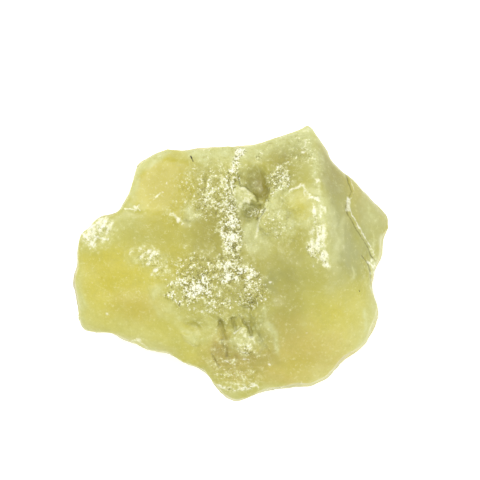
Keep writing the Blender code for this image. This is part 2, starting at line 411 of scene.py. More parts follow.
# %% Where the grains lie
SUGAR = {
    "column": (band([(0.9, 16.0), (0.2, 12.5), (0.2, 9.0)], 1.0), 0.50),
    "middle": (band([(0.0, 7.6), (0.4, 4.5), (0.4, 1.5), (0.0, -2.5)], 1.75), 0.54),
    "heart": (ball(0.1, 4.8, 1.4, 2.6), 0.5),
    "upper scatter": (ball(-2.6, 11.2, 4.4, 4.0, soft=0.8), 0.37),
    "left scatter": (ball(-2.4, 7.6, 2.6, 3.0), 0.16),
    "beside the hollow": (ball(7.3, 13.0, 2.0, 2.4, turn=-30, soft=0.5), 0.48),
    "hollow's foot": (band([(6.4, 11.0), (5.4, 9.4), (4.6, 7.6)], 0.7), 0.50),
    "pocket": (ball(3.6, 8.0, 1.7, 1.2, soft=0.6), 0.36),
    "top patch": (ball(1.0, 17.1, 0.9, 0.8), 0.6),
    "top crumbs": (ball(4.2, 16.2, 1.3, 0.8, turn=20), 0.36),
    "lower patch": (ball(-2.4, -3.0, 6.8, 4.4, turn=-12, soft=0.6), 0.44),
    "white heap": (ball(-5.2, -3.6, 2.4, 1.5, turn=-15), 0.72),
    "heap's top": (ball(-4.4, -1.8, 0.8, 0.5, turn=-30), 0.6),
    "left rim": (band([(-9.0, -3.0), (-9.0, -4.8), (-7.6, -5.8)], 0.7), 0.45),
    "centre heap": (ball(-0.3, -1.6, 0.8, 1.7), 0.4),
    "right heap": (band([(1.8, -1.2), (3.6, -0.6), (4.3, -1.8)], 0.7), 0.48),
    "slope": (ball(3.4, -3.8, 2.0, 2.6), 0.33),
    "lobe": (ball(6.6, 6.2, 2.4, 2.4, turn=20), 0.26),
    "beside the crest": (band([(12.9, 7.0), (12.9, 4.8), (13.0, 3.0)], 0.9), 0.26),
    "crest": (band([(14.0, 2.8), (14.3, 0.4)], 0.8), 0.3),
    "below the crest": (ball(12.5, 1.9, 0.8, 0.9), 0.5),
    "slanting bruise": (ball(-12.0, 0.6, 2.2, 1.3, turn=-35), 0.34),
    "flake foot": (ball(3.0, -13.2, 1.4, 0.8, turn=-40), 0.45),
    "corner": (ball(-20.2, 4.8, 2.0, 1.6, turn=30), 0.25),
    "front band": (band([(-2.0, -18.6), (1.0, -19.0), (3.6, -18.7)], 0.7), 0.34),
    "front crumbs": (ball(0.4, -16.4, 3.6, 2.0), 0.20),
    "peak": (ball(11.0, 17.0, 2.0, 3.6), 0.24),
    "top edge": (band([(-13.0, 17.0), (-6.0, 17.4), (4.0, 17.8), (9.0, 19.4)], 0.9), 0.18),
}
sugar = together(*(where * thick for where, thick in SUGAR.values())) * upper
open_place = ball(-0.2, -3.9, 2.8, 1.4, turn=-5)
sugar *= 1 - 0.5 * open_place
hidden = (1 - upper) * ease(0.25, 0.8, billows + 0.3 * ragged) * 0.5
sugar = np.maximum(sugar, hidden)
print("sugar lies on", percent(sugar > 0.2))

# %% [markdown]
# ## Heaped grains
# The grains are a fine cloud that is cut off higher where they lie thin, so that a patch dissolves
# into single grains at its rim. Between them are gaps, where the same cloud is low.

# %% Heaped grains
grains = 0.4 * ragged + 0.6 * clouds(0.6, 3, 3) + 0.25 * clouds(0.4, 4, 1)
heaped = ease(0.35, 0.95, sugar + 0.8 * grains) * ease(0.05, 0.3, sugar)
gaps = ease(0.1, 0.5, -grains) * ease(0.15, 0.8, sugar)
print("grains cover", percent(heaped))

# %% [markdown]
# ## Flakes
# A flake is a thin plate that half came off: its free rim stands up and its far side runs out into
# the stone. Plates could be laid on as pieces of their own, but a stone has no seams under them, so
# each is a height that is added to the stone inside an outline. The largest outlines are a slab or a
# lobe that stands a little higher than its neighbour.

# %% Outlines of the flakes
PALE_FLAKE = [(0.3, 11.8), (2.4, 11.6), (3.1, 10.8), (3.9, 10.1), (4.1, 9.4), (3.4, 9.7), (3.0, 9.0),
              (2.4, 9.3), (1.8, 8.4), (1.1, 8.7), (0.7, 8.1), (0.1, 9.4)]
CREAM_FLAKE = [(-0.2, -10.9), (0.6, -10.6), (1.5, -9.7), (2.3, -9.5), (2.6, -10.2), (2.7, -11.2),
               (3.6, -11.2), (4.3, -12.3), (4.9, -12.6), (4.2, -13.4), (3.1, -13.7), (2.0, -13.6),
               (1.4, -12.9), (0.4, -12.3), (0.0, -11.6)]
PLANK = [(3.6, -7.2), (4.8, -7.0), (5.9, -9.6), (7.1, -12.9), (6.2, -13.3), (5.0, -12.0), (4.0, -9.8)]
GREEN_FLAKE = [(-7.3, 8.4), (-6.4, 9.4), (-5.4, 9.0), (-5.0, 7.4), (-6.2, 6.4), (-7.2, 6.8)]
LOW_FLAKE = [(-7.5, -10.6), (-5.8, -10.9), (-5.0, -12.3), (-5.9, -12.3), (-6.8, -11.7)]
LEFT_FLAKE = [(-12.4, -3.6), (-11.4, -3.2), (-10.7, -4.0), (-10.8, -5.2), (-12.0, -5.2)]
LOBE = [(7.4, 11.2), (6.3, 9.7), (5.1, 8.7), (4.9, 7.5), (4.4, 5.8), (5.6, 4.8), (8.6, 6.6), (9.4, 10.6)]
BUMP = [(8.6, 9.8), (9.2, 11.3), (10.9, 11.4), (11.9, 10.4), (13.2, 9.8), (13.0, 7.2), (11.4, 6.4),
        (9.2, 6.8)]
UPPER_LEDGE = [(-17.0, 7.9), (-13.9, 8.1), (-10.8, 7.8), (-7.8, 6.6), (-5.0, 10.0), (-6.0, 18.5),
               (-14.0, 19.0), (-19.0, 12.0)]
OUTER_SLAB = [(17.4, 14.5), (17.7, 13.0), (18.4, 11.0), (17.6, 9.7), (17.4, 8.5), (17.9, 7.3),
              (19.1, 5.3), (20.6, 3.0), (21.9, 0.5), (26.0, 2.0), (26.0, 16.0)]


# %% Raising the flakes
def flake(outline, thickness, rim=0.25, run_out=None):
    """A raised plate inside the outline, whose thickness fades towards the run-out point."""
    depth = inside(outline) + 0.18 * ragged + 0.1 * fine
    raised = thickness * ease(-rim, rim, depth) * upper
    if run_out is None:
        return raised
    middle = np.mean(outline, axis=0)
    way = np.array(run_out) - middle
    part = (place[:, :2] - middle) @ way / (way @ way)
    return raised * ease(1.0, -0.3, part)


height += flake(PALE_FLAKE, 0.45, run_out=(-1.5, 10.6))
height += flake(CREAM_FLAKE, 0.4, run_out=(-1.0, -14.5))
height += flake(PLANK, 0.3, run_out=(5.0, -3.0))
height += flake(GREEN_FLAKE, 0.22)
height += flake(LOW_FLAKE, 0.3)
height += flake(LEFT_FLAKE, 0.12)
height += flake(LOBE, 0.25, rim=0.6, run_out=(9.0, 7.4))
height += flake(BUMP, 0.22, rim=0.4, run_out=(12.0, 5.0))
height += flake(UPPER_LEDGE, 0.16, rim=0.5, run_out=(-10.0, 16.0))
height += flake(OUTER_SLAB, 0.16, rim=0.12, run_out=(24.5, 9.0))
print("flakes up to", round(float(height.max()), 2), "mm")

# %% [markdown]
# ## Hollow, pocket and grooves
# A dark hollow runs down to the pale flake and is steepest at that flake's ragged rim, with a crumbly
# pocket under it. Near the front a few grooves run side by side, and a low swelling ends them. The
# solid holds the large dips already, so these are only the last half millimetre: heights below zero.

# %% Hollow, pocket and grooves
HOLLOW = [(1.2, 16.4), (1.3, 13.3), (1.5, 11.8), (2.2, 11.7), (3.0, 10.9), (4.0, 10.3), (4.2, 9.3),
          (4.6, 8.5), (4.9, 8.7), (5.2, 9.5), (5.5, 10.4), (5.6, 11.5), (5.3, 13.0), (5.4, 16.4)]
POCKET = [(0.6, 7.5), (1.7, 8.6), (2.8, 9.3), (3.9, 9.2), (4.1, 8.6), (5.1, 8.4), (4.7, 7.4),
          (3.9, 6.9), (2.9, 6.2), (2.0, 6.1), (1.1, 6.9)]
scooped = ease(-0.2, 0.6, inside(HOLLOW)) * ease(16.0, 11.6, place[:, 1]) * upper
pocketed = ease(-0.2, 0.5, inside(POCKET)) * upper
PITS = {
    "hollow": (scooped, 0.42),
    "hollow's foot": (ball(4.8, 10.6, 0.8, 1.6, turn=8), 0.3),
    "pocket": (pocketed, 0.1),
    "olive dish": (ball(-6.2, -9.8, 1.4, 0.6, turn=-10), 0.1),
}
GROOVES = {
    "small pit": 0.8 * ball(2.9, -6.7, 0.9, 0.4, turn=-10, soft=0.5),
    "beside the flake": band([(1.5, -7.9), (1.9, -8.4), (2.3, -8.9), (2.8, -9.6), (3.1, -10.6),
                              (3.2, -11.0)], 0.4, for_lines),
    "middle": 0.6 * band([(0.2, -8.3), (0.5, -9.2), (0.8, -10.2)], 0.35, for_lines),
    "left": 0.6 * band([(-1.6, -8.7), (-1.2, -9.8), (-0.9, -11.3)], 0.45, for_lines),
    "low left": band([(-1.3, -11.5), (-1.2, -12.5), (-0.7, -12.9), (-0.7, -14.1)], 0.26, for_lines),
    "brown line": band([(-2.9, -13.6), (-2.5, -14.5), (-1.8, -15.7)], 0.2, for_lines),
}
GROOVE_DEPTH = 0.24
SWELLING = 0.3
grooved = together(*GROOVES.values()) * upper
for patch, depth in PITS.values():
    height -= depth * patch * upper
height -= GROOVE_DEPTH * grooved
height += SWELLING * ball(3.2, -5.7, 1.2, 1.0) * upper
print("hollows down to", round(float(height.min()), 2), "mm")

# %% [markdown]
# ## Fine lines
# Cracks, the bright rims of flakes, single crumbs and two specks of dirt are thinner than the net. A
# map that is only 0 or 1 would look torn there, so these are kept as distances instead: distance
# changes evenly, so it reads true between two points of the net, and the finish can cut a line of any
# width out of it.

# %% Distances to lines
FARTHEST = 4.0


def nearest(lines):
    """The distance to the nearest line, counted in that line's own half widths."""
    share = np.full(count, FARTHEST)
    for points, half_width in lines:
        share = np.minimum(share, away(points, for_lines) / half_width)
    return np.where(upper > 0.05, share, FARTHEST)


CRACK = [(17.6, 13.5), (17.9, 12.2), (18.4, 11.0), (17.6, 9.7), (17.4, 8.5), (17.9, 7.3), (19.1, 5.3),
         (20.6, 3.0), (21.4, 1.3), (21.9, 0.5)]
SEAMS = [
    (CRACK, 0.07),
    ([(20.0, 1.3), (20.9, 0.2), (21.3, -1.4), (21.6, -3.4)], 0.10),
    ([(1.3, 13.3), (1.5, 11.8), (2.2, 11.8), (3.0, 11.0), (4.0, 10.4), (4.2, 9.4)], 0.11),
    ([(5.2, 8.5), (4.7, 7.3), (3.9, 6.8)], 0.12),
]
DIRT = [([(-6.15, 16.4), (-5.95, 16.1), (-5.75, 15.6)], 0.12), ([(19.5, -3.8), (19.5, -4.1)], 0.12)]
# Along the crack and the flake rims, the white on these lines is a painted highlight.
LIPS = [
    ([(17.9, 13.4), (18.3, 12.1), (18.7, 11.0), (18.0, 9.7)], 0.04),
    ([(18.0, 9.7), (17.8, 8.6), (18.3, 7.4), (19.5, 5.4), (21.0, 3.1), (21.9, 1.3)], 0.08),
    ([(17.7, 10.0), (17.7, 8.2)], 0.22),
    ([(12.2, 10.2), (13.2, 9.8)], 0.24),
    ([(-16.1, 8.4), (-14.4, 8.2)], 0.11),
    ([(-14.6, 7.9), (-13.8, 9.0)], 0.15),
    ([(-14.6, 8.8), (-13.7, 8.0)], 0.12),
    ([(-22.6, 4.7), (-21.6, 3.7)], 0.14),
    ([(-21.3, 2.5), (-20.6, 3.9)], 0.18),
    ([(-20.7, 4.3), (-18.6, 3.7)], 0.16),
    ([(-19.9, 4.9), (-18.9, 6.5)], 0.16),
    ([(-21.7, 5.2), (-19.9, 6.4)], 0.18),
    ([(20.9, 0.4), (21.9, -1.0), (21.9, -3.0)], 0.12),
    ([(0.6, -10.6), (1.5, -9.7)], 0.13),
    ([(2.8, -11.2), (3.6, -11.2)], 0.13),
    ([(1.8, -14.5), (2.7, -14.6)], 0.12),
    ([(-0.9, -14.7), (-0.1, -15.0)], 0.10),
    ([(1.7, -13.3), (2.2, -13.4)], 0.18),
]
DOTS = [(-2.0, -4.8), (-0.2, -5.4), (-3.3, -6.2), (-5.6, -6.8), (-4.3, -7.2), (5.9, -2.7), (5.3, -5.4),
        (5.9, -15.2), (10.8, -18.1), (11.6, -10.4), (-18.9, -7.6), (12.5, -0.2), (-9.7, 12.3),
        (-6.7, 12.4)]
DOT_SIZE = 0.18
seam = nearest(SEAMS)
dirt = nearest(DIRT)
lip = nearest(LIPS + [([dot], DOT_SIZE) for dot in DOTS])
print(len(SEAMS), "cracks,", len(LIPS), "bright rims and", len(DOTS), "crumbs")

# %% [markdown]
# ## Carving
# All heights are now added up, and each point moves along its own outward direction. Moving points
# once, at the end, keeps the lines and outlines from sliding while they are still being drawn.

# %% Carving
SEAM_DEPTH = 0.12
LIP_HEIGHT = 0.05
GRAIN_HEIGHT = 0.11
GAP_DEPTH = 0.05

height -= SEAM_DEPTH * ease(2.5, 0.5, seam)
height += LIP_HEIGHT * ease(1.5, 0.5, lip)
height += GRAIN_HEIGHT * heaped - GAP_DEPTH * gaps
place += outward * height[:, None]
print("relief from", round(float(height.min()), 2), "to", round(float(height.max()), 2), "mm")

# %% [markdown]
# ## Edges and hollows
# Small edges are bruised and pale. Broad rims are painted paler as a painted glow, light shining through
# thin stone, and small dents and deep places are painted darker as painted shade. Blender can bake
# pointiness and occlusion, but
# `averaged` finds both at once: a point stands out where it lies above the average of its surroundings.
# Few passes compare it with its neighbours, and many with a wider round.

# %% Standing out and lying deep
NEIGHBOURS = 24
WIDER_ROUND = 260

outward = facing()
fine_stand = np.einsum("ij,ij->i", place - averaged(place, NEIGHBOURS), outward)
broad_stand = np.einsum("ij,ij->i", place - averaged(place, WIDER_ROUND), outward)
edge = ease(0.02, 0.12, fine_stand)
# rim: broad rims, which the finish paints paler as a painted glow of light through the thin stone.
rim = ease(0.35, 1.3, broad_stand)
# dent and deep: small dents and deep places, which the finish paints darker as painted shade.
dent = ease(0.02, 0.22, -fine_stand)
deep = ease(0.05, 0.55, -broad_stand)
print("edges on", percent(edge > 0.5), "and dents on", percent(dent > 0.5))

# %% [markdown]
# ## Colours in the stone
# The colour drifts from lemon through lime to olive and grey-green, because the stone is a mixture of
# minerals.
# A few patches are painted light instead: pale ones along the outline are a painted glow through the
# thin edges, and brown ones in the hollow are painted shade. One noise pattern would give the right
# colours in the wrong places, so each tint is a handful of soft patches. A patch is its x and y, its two
# half widths in mm, and how strong it is.

# %% Tints
TINTS = {
    "lemon": [(-14.5, -10.6, 3.8, 2.4, 0.5), (-20.6, -7.4, 2.6, 3.4, 0.4),
        (-17.7, -1.0, 5.0, 4.4, 0.9), (-20.0, -5.0, 3.2, 4.0, 0.6), (-13.6, -4.0, 4.0, 3.6, 0.5),
        (-11.2, 12.2, 4.0, 3.0, 0.9), (-7.4, 16.0, 2.8, 1.3, 0.85), (-10.0, 9.4, 3.6, 2.0, 0.45),
        (15.5, -12.5, 5.0, 5.0, 0.5), (13.4, -6.4, 3.0, 2.4, 0.35), (10.8, 8.6, 1.8, 1.8, 0.5),
        (12.0, -17.0, 4.5, 2.0, 0.5), (-1.6, 16.0, 1.6, 0.8, 0.5), (-9.2, 12.6, 3.0, 3.0, 0.7),
        (-9.3, 7.6, 4.0, 2.6, 0.75), (-8.8, 1.4, 4.0, 3.4, 0.6), (18.2, -8.0, 3.0, 5.0, 0.5),
        (-9.0, -10.0, 4.5, 2.5, 0.35), (17.6, 15.4, 2.0, 1.6, 0.5), (-6.0, -14.0, 3.5, 1.4, 0.4)],
    "honey": [(-9.4, 12.6, 3.0, 3.0, 0.5), (-9.4, 7.0, 3.0, 2.4, 0.3), (-9.2, 1.4, 3.0, 2.6, 0.3),
        (-15.0, -6.0, 3.0, 2.4, 0.35), (-10.4, 12.2, 3.8, 2.8, 0.9), (-7.4, 15.9, 2.4, 0.9, 0.35),
        (-18.6, -1.4, 3.4, 3.6, 0.35), (-8.8, 9.4, 2.6, 1.6, 0.35), (9.8, -15.0, 2.4, 1.4, 0.3)],
    "rust": [(0.8, -14.6, 4.0, 1.5, 0.35), (-2.2, -13.0, 1.1, 1.6, 0.65),
        (-0.3, -12.6, 0.5, 1.4, 0.4), (0.4, -14.4, 1.4, 0.8, 0.3)],
    "amber": [(11.0, -13.6, 5.6, 4.4, 0.8), (8.3, -17.0, 3.0, 1.2, 0.6),
        (-2.4, -12.6, 1.4, 2.2, 0.8), (-1.0, -10.6, 1.0, 1.6, 0.7), (-14.4, -6.6, 3.4, 2.0, 0.6),
        (3.0, -16.5, 5.0, 2.0, 0.6), (20.4, 9.4, 3.0, 4.4, 0.65), (1.4, -14.4, 5.0, 2.4, 0.6),
        (9.6, -11.6, 3.0, 3.0, 0.35)],
    "olive": [(-3.0, 4.6, 2.6, 3.4, 0.4), (2.8, -11.5, 3.0, 3.0, 0.35), (16.4, 8.0, 2.4, 4.0, 0.4),
        (-3.4, 4.8, 2.8, 2.2, 0.75), (8.3, 0.4, 4.0, 3.4, 0.85), (4.8, 0.8, 2.2, 2.2, 0.35),
        (5.7, -4.0, 2.6, 2.6, 0.5), (8.6, -8.6, 2.8, 4.0, 0.5), (7.0, 17.0, 2.6, 1.4, 0.65),
        (-8.0, 2.0, 3.4, 3.0, 0.35), (-1.0, -6.4, 5.0, 2.4, 0.5), (5.0, -11.0, 2.4, 3.0, 0.4),
        (8.4, -11.4, 2.6, 3.4, 0.35), (0.5, -15.0, 3.0, 1.6, 0.5), (10.6, 4.4, 1.8, 2.0, 0.5),
        (9.0, 14.2, 2.6, 2.6, 0.6), (15.4, 12.8, 2.2, 3.6, 0.85), (8.4, 13.4, 2.8, 2.6, 0.75),
        (-9.6, 6.2, 3.2, 2.0, 0.4), (15.4, -1.6, 3.6, 3.4, 0.45), (9.6, -5.4, 4.0, 3.2, 0.35),
        (-4.6, 13.4, 3.6, 2.6, 0.6), (-8.4, 11.4, 2.6, 3.0, 0.5), (-12.6, 4.4, 4.0, 2.2, 0.35),
        (-3.2, 8.0, 3.6, 4.0, 0.7), (-3.4, 0.8, 3.2, 3.0, 0.65), (-3.0, -3.2, 5.0, 3.0, 0.4),
        (2.0, -3.4, 3.0, 2.6, 0.5), (13.4, 14.0, 1.8, 3.4, 0.4)],
    "grey": [(10.2, 17.6, 2.6, 2.2, 0.6), (20.2, 2.0, 1.6, 2.6, 0.3), (17.4, 3.4, 2.4, 5.0, 0.55),
        (3.2, 5.0, 1.2, 1.6, 0.4), (18.8, 0.0, 1.6, 2.0, 0.25), (6.2, -2.6, 1.5, 1.5, 0.75),
        (21.0, 6.8, 2.6, 4.4, 0.6), (3.0, 7.7, 2.2, 1.3, 0.7), (7.6, 12.6, 1.6, 2.4, 0.5),
        (4.4, -9.6, 1.0, 2.4, 0.5), (6.4, -11.4, 0.9, 2.2, 0.4), (0.9, 4.6, 1.8, 3.4, 0.55),
        (15.8, 8.6, 1.4, 4.0, 0.4), (9.0, -0.6, 3.0, 2.4, 0.25)],
    # The brown patches in the hollow are painted shade.
    "brown": [(15.2, 14.4, 2.2, 4.0, 0.4), (-3.0, 6.6, 3.2, 3.4, 0.22), (0.5, 0.6, 4.6, 4.4, 0.22),
        (8.5, -6.5, 3.0, 4.0, 0.22), (4.4, 12.4, 1.2, 2.0, 0.5), (4.8, 11.4, 0.9, 1.6, 0.7),
        (-0.8, -12.2, 0.6, 1.4, 0.5), (7.4, 15.6, 2.0, 1.1, 0.4), (5.0, -14.6, 2.4, 1.0, 0.35)],
    # The pale patches along the outline are a painted glow of light through the thin edges.
    "pale": [(-20.8, -8.6, 2.4, 2.6, 0.25), (-14.0, -11.6, 4.0, 1.6, 0.3),
        (11.8, 15.4, 1.8, 3.4, 0.15), (19.8, -11.0, 2.4, 3.4, 0.25), (14.0, -17.0, 3.0, 1.4, 0.25),
        (-16.5, 11.5, 1.6, 2.4, 0.35), (-12.8, 16.2, 2.8, 1.2, 1.0), (-4.0, 16.6, 3.8, 1.3, 0.85),
        (-15.6, -9.8, 3.4, 1.2, 0.15), (-14.9, 13.4, 0.9, 2.4, 0.8), (-4.4, 17.2, 1.6, 1.0, 0.8),
        (1.6, 17.0, 3.2, 1.2, 0.85), (8.4, 19.0, 3.6, 1.2, 0.6), (5.0, 17.8, 3.5, 1.2, 0.5),
        (9.6, 20.2, 2.4, 0.9, 0.6), (-23.0, -5.5, 0.8, 4.0, 0.6), (-22.6, -9.2, 1.2, 1.2, 0.4),
        (21.6, -8.6, 0.9, 3.2, 0.4), (20.4, -12.0, 1.6, 0.9, 0.6), (10.0, -18.8, 4.0, 0.6, 0.5),
        (17.6, -15.6, 1.6, 0.8, 0.4), (1.8, 10.0, 1.8, 1.6, 0.85), (2.8, 5.2, 1.3, 1.8, 0.6),
        (7.2, 7.4, 2.6, 3.2, 0.45), (-6.2, 7.8, 1.1, 1.4, 0.8), (2.1, -12.0, 1.9, 1.6, 0.65),
        (-20.2, 4.8, 2.4, 2.0, 0.6), (-12.0, 0.6, 2.6, 1.2, 0.5), (-5.9, -11.5, 1.0, 0.8, 0.6),
        (12.8, 14.4, 1.0, 4.2, 0.5), (13.3, 5.0, 1.6, 4.6, 0.65), (14.4, 8.6, 0.9, 3.4, 0.35),
        (15.0, 3.0, 0.9, 3.6, 0.25), (15.8, 2.4, 0.5, 3.6, 0.35), (21.8, -1.2, 0.6, 2.0, 0.6),
        (4.6, 3.0, 1.8, 1.4, 0.5), (-11.5, -4.2, 1.0, 1.1, 0.6), (-10.0, -7.4, 1.8, 1.2, 0.15),
        (21.5, 7.4, 1.6, 3.6, 0.4), (3.0, 16.4, 2.4, 0.7, 0.4), (11.4, 20.0, 1.8, 1.6, 0.7)],
}
print(sum(len(patches) for patches in TINTS.values()), "patches in", len(TINTS), "tints")

# %% [markdown]
# ## Gleams
# Along the ridge, thin edges and fresh rims, pale lines are painted: painted highlights where a rim
# catches the light, and a painted glow where light shines through thin stone. A gleam is a line, its
# half width in mm and how strong it is. All of them join the pale tint.

# %% Gleams
GLOW_AND_HIGHLIGHTS = [
    ([(-15.2, 11.0), (-14.4, 14.0), (-12.4, 16.3), (-9.8, 17.4)], 1.1, 0.65),
    ([(4.25, 14.6), (4.3, 13.1)], 0.25, 0.5),
    ([(11.7, 20.4), (12.3, 16.5), (12.9, 12.4), (13.4, 9.0), (13.9, 5.0), (14.4, 1.0)], 0.6, 0.65),
    ([(7.2, 11.2), (6.4, 9.9), (5.7, 9.0), (5.3, 7.6), (4.7, 6.3), (4.1, 4.8)], 0.5, 0.9),
    ([(4.9, 6.0), (5.3, 7.9), (6.3, 8.6), (7.4, 7.5), (8.5, 7.9)], 0.35, 0.7),
    ([(8.6, 6.6), (10.4, 6.2), (12.0, 7.0)], 0.4, 0.5),
    ([(4.6, -6.9), (6.2, -10.9), (7.1, -13.5)], 0.3, 0.45),
    ([(-12.4, -5.7), (-10.4, -8.0), (-8.1, -9.5), (-5.5, -11.0)], 0.5, 0.25),
    ([(6.2, -9.2), (7.3, -12.8)], 0.5, 0.6),
    ([(20.5, -6.3), (20.8, -10.0)], 0.4, 0.7),
    ([(18.7, -0.7), (18.7, -2.3)], 0.35, 0.7),
    ([(21.5, 8.4), (21.7, 6.2)], 0.3, 0.6),
    ([(21.7, 4.8), (22.1, 2.6)], 0.35, 0.6),
    ([(17.4, 7.4), (16.6, 4.6), (16.2, 1.2)], 0.5, 0.45),
    ([(15.4, 9.0), (15.9, 5.0), (16.8, 0.6)], 0.4, 0.3),
    ([(14.9, 15.4), (14.5, 11.0), (15.0, 7.0)], 0.5, 0.15),
    ([(-9.4, -7.0), (-7.0, -8.2), (-4.6, -8.4)], 0.6, 0.2),
    ([(21.4, 2.6), (21.9, 0.4), (22.3, -1.6)], 0.4, 0.6),
    ([(13.8, 11.4), (14.8, 7.6), (16.4, 3.6)], 0.3, 0.4),
]
print(len(GLOW_AND_HIGHLIGHTS), "gleams")

# %% [markdown]
# ## Maps of the tints
# Each tint becomes one number for each point. The steep face on the right is painted greyer than its
# patches alone, as painted shade on a face that turns away from the light, and what is scooped out, the
# pocket and the grooves are painted browner, as painted shade in the recesses. On the walls and
# underneath, each tint follows a broad cloud of its own.

# %% Maps of the tints
RIGHT_FACE = [(12.6, 20.0), (13.0, 16.5), (13.5, 13.0), (13.9, 9.5), (14.2, 5.0), (15.2, 0.5),
              (17.0, -2.0), (20.5, -2.6), (20.4, 1.0), (18.6, 5.2), (17.3, 7.6), (17.2, 9.4),
              (17.9, 11.0), (17.4, 13.6)]
BY_CHANCE = {
    "lemon": (1, 0.7),
    "honey": (3, 0.7),
    "rust": (23, 0.7),
    "amber": (7, 0.7),
    "olive": (11, 0.7),
    "grey": (13, 0.7),
    "brown": (17, 0.35),
    "pale": (19, 0.7),
}
ALSO = {
    # Painted shade: the steep right face is painted greyer, as it turns away from the light.
    "grey": [0.4 * ease(-0.3, 1.8, inside(RIGHT_FACE))],
    # Painted shade: the hollow, the pocket and the grooves are painted browner.
    "brown": [0.4 * scooped, 0.12 * pocketed, 0.5 * grooved],
    # Painted highlights and glow: the gleams join the pale tint.
    "pale": [part * band(points, width) for points, width, part in GLOW_AND_HIGHLIGHTS],
}
maps = {}
for tint, patches in TINTS.items():
    placed = together(*(part * ball(x, y, wide, tall, soft=0.85) for x, y, wide, tall, part in patches))
    if tint in ALSO:
        placed = together(placed, *ALSO[tint])
    seed, most = BY_CHANCE[tint]
    chance = most * ease(0.1, 0.6, clouds(9.0, seed, 2))
    maps[tint] = placed * upper + chance * (1 - upper)
    print(tint, "covers", percent(maps[tint]))

# %% [markdown]
# ## Frost
# Frost is the milky bloom on bruised edges. It is strongest on the corner at the left, along the crest
# and in a few knocks. At the peak and along the crest the white is also a painted highlight, and on
# broad rims a painted glow. A knock leaves strokes rather than a smear, so most patches are broken up by
# a fine cloud that is drawn out along one bearing.

# %% Frosted places
strokes = clouds(0.6, 21, 2, turn=55, stretch=3.5)
upright = clouds(0.5, 23, 2, turn=95, stretch=4.0)
slant = clouds(0.5, 27, 2, turn=-20, stretch=4.0)
FROST_AND_HIGHLIGHTS = {
    "corner": ball(-20.4, 4.8, 2.8, 2.4, turn=30) * (0.65 + 0.6 * strokes),
    "slanting bruise": ball(-12.0, 0.6, 3.2, 1.9, turn=-35) * (0.45 + 0.8 * strokes),
    # Partly painted highlight: the white at and below the peak and along the crest.
    "peak": ball(11.8, 20.2, 0.8, 0.5) * 0.5,
    "below the peak": ball(11.5, 17.6, 1.1, 2.2) * (0.5 + 0.7 * upright),
    "upper crest": band([(11.8, 15.4), (12.5, 13.6), (13.3, 11.2)], 0.7) * (0.35 + 0.5 * upright),
    "column by the crest": band([(12.8, 8.0), (12.8, 5.4), (13.0, 2.2)], 1.9) * (0.6 + 0.7 * upright),
    "crest": band([(14.1, 3.4), (14.5, 0.2)], 0.9) * (0.8 + 0.7 * upright),
    "crest's foot": ball(14.6, -1.2, 0.5, 1.6) * 0.3,
    "low edge": band([(-15.0, -11.6), (-13.8, -12.2), (-12.6, -12.8)], 0.5) * 0.6,
    "middle column": band([(0.6, 16.0), (0.4, 10.0), (0.4, 5.0), (0.2, -1.0)], 1.5) * 0.3,
    "top patch": ball(1.0, 17.0, 1.0, 0.9) * 0.7,
    "top crumbs": ball(4.2, 16.2, 1.3, 0.8, turn=20) * (0.3 + 0.6 * strokes),
    "front band": band([(-2.2, -18.4), (0.8, -19.0), (4.0, -18.7)], 1.0) * (0.6 + 0.6 * slant),
    "front streaks": ball(0.0, -17.0, 3.4, 1.6, turn=-20) * (0.2 + 0.6 * slant),
    "cream flake": ball(2.0, -12.0, 1.7, 1.9, turn=-20) * 0.35,
    "pale flake": ball(1.8, 10.2, 1.6, 1.2, turn=-30) * 0.3,
    "edge of the lobe": band([(5.8, 7.5), (4.7, 6.3), (4.3, 5.6), (4.0, 4.7)], 0.5) * 0.6,
    "edge of the bump": 0.68 * band([(8.4, 11.0), (9.1, 11.4), (10.8, 11.4), (11.8, 10.4),
                                     (13.2, 9.8)], 0.5),
    "right corner": ball(21.6, 0.2, 1.1, 2.6) * (0.45 + 0.8 * slant),
    "right foot": ball(18.6, -1.6, 2.2, 1.2) * (0.5 * upright),
    "stroke": band([(-11.6, 9.9), (-10.3, 11.2)], 0.4) * 0.85,
    "hook": band([(-8.7, 7.5), (-8.0, 6.9), (-7.4, 6.2)], 0.5) * (0.6 + 0.5 * strokes),
    "foot streaks": ball(1.0, -14.6, 4.4, 2.0, turn=-25) * (0.5 * slant),
}
frost = together(*(np.clip(patch, 0, 1) for patch in FROST_AND_HIGHLIGHTS.values())) * upper
# The rim term is a painted glow on broad rims; the edge term is bruising on small edges.
frost = together(frost, 0.30 * rim * ease(-0.3, 0.5, ragged), 0.45 * edge * (0.3 + 0.7 * rough))
print("frost covers", percent(frost > 0.4))

# %% [markdown]
# ## Finishing the mesh
# Nothing may reach below the rest face, or stand out of the solid's box by more than a crumb. The maps
# stay on the points as attributes, which the finish reads, because painting them on an image would
# need the stone unwrapped.

# %% Places and maps onto the mesh
CRUMB = 0.3

place[:, 2] = np.maximum(place[:, 2], 0)
place = np.clip(place, np.array(low) / MM - CRUMB, np.array(high) / MM + CRUMB)
stone.data.vertices.foreach_set("co", place.ravel())
maps.update(sugar=sugar, rough=rough, frost=frost, seam=seam, dirt=dirt, lip=lip, rim=rim, dent=dent,
            deep=deep)
for name, values in maps.items():
    attribute = stone.data.attributes.new(name, "FLOAT", "POINT")
    attribute.data.foreach_set("value", values.astype(np.float32))
print(len(maps), "maps on", count, "points")

# %% [markdown]
# ## Thinning
# An even net spends as many triangles on a flat slab as on a grain. Decimate takes them out where the
# surface is smooth, and carries the attributes along. Then the stone goes back from mm to metres.

